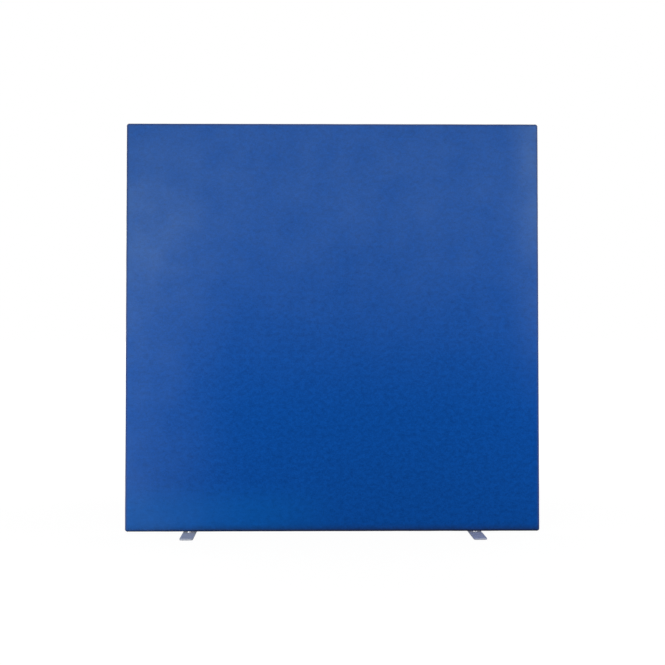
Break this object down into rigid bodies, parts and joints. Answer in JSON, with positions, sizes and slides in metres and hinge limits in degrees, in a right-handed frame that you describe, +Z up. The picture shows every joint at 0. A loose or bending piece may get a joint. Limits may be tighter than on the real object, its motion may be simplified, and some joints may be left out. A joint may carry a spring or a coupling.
{
  "type": "floor screen",
  "caption": "Free-standing office floor screen: a thin upright fabric-covered panel with a wrapped edge, standing on flat steel bar feet that turn under it.",
  "frame": {"origin": "on the floor, under the middle of the panel", "axes": "+X to the right across the panel seen from the front, +Y to the back, +Z up; the front faces -Y"},
  "size_m": [1.6, 0.4, 1.587],
  "materials": {
    "cover_fabric": "woven royal blue wool blend",
    "wadding": "soft polyester felt",
    "trim_plastic": "satin flexible plastic, dark blue",
    "frame_timber": "planed softwood",
    "fibreboard": "soft wood fibreboard",
    "dowel_timber": "beech",
    "screw_steel": "zinc plated",
    "insert_brass": "machined",
    "spacer_steel": "turned, zinc plated",
    "bolt_steel": "zinc plated",
    "foot_paint": "silver grey powder coat"
  },
  "bodies": {
    "panel": {"left_stile": "frame_timber", "right_stile": "frame_timber", "top_rail": "frame_timber", "bottom_rail": "frame_timber", "centre_stud": "frame_timber", "left_mid_rail": "frame_timber", "right_mid_rail": "frame_timber", "upper_left_infill": "fibreboard", "upper_right_infill": "fibreboard", "lower_left_infill": "fibreboard", "lower_right_infill": "fibreboard", "front_wadding": "wadding", "back_wadding": "wadding", "front_cover": "cover_fabric", "back_cover": "cover_fabric", "edge_trim": "trim_plastic", "bottom_trim": "trim_plastic", "frame_screws": "screw_steel", "mid_rail_dowels": "dowel_timber", "left_foot_insert": "insert_brass", "right_foot_insert": "insert_brass", "left_foot_spacer": "spacer_steel", "right_foot_spacer": "spacer_steel", "left_foot_bolt": "bolt_steel", "right_foot_bolt": "bolt_steel"},
    "left_foot": {"left_foot": "foot_paint"},
    "right_foot": {"right_foot": "foot_paint"}
  },
  "joints": [
    {"name": "left_foot_swivel", "type": "hinge", "parent": "panel", "child": "left_foot", "pos_m": [-0.552, 0, 0.003], "axis": [0, 0, 1], "range_deg": [-90, 90]},
    {"name": "right_foot_swivel", "type": "hinge", "parent": "panel", "child": "right_foot", "pos_m": [0.552, 0, 0.003], "axis": [0, 0, 1], "range_deg": [-90, 90]}
  ]
}
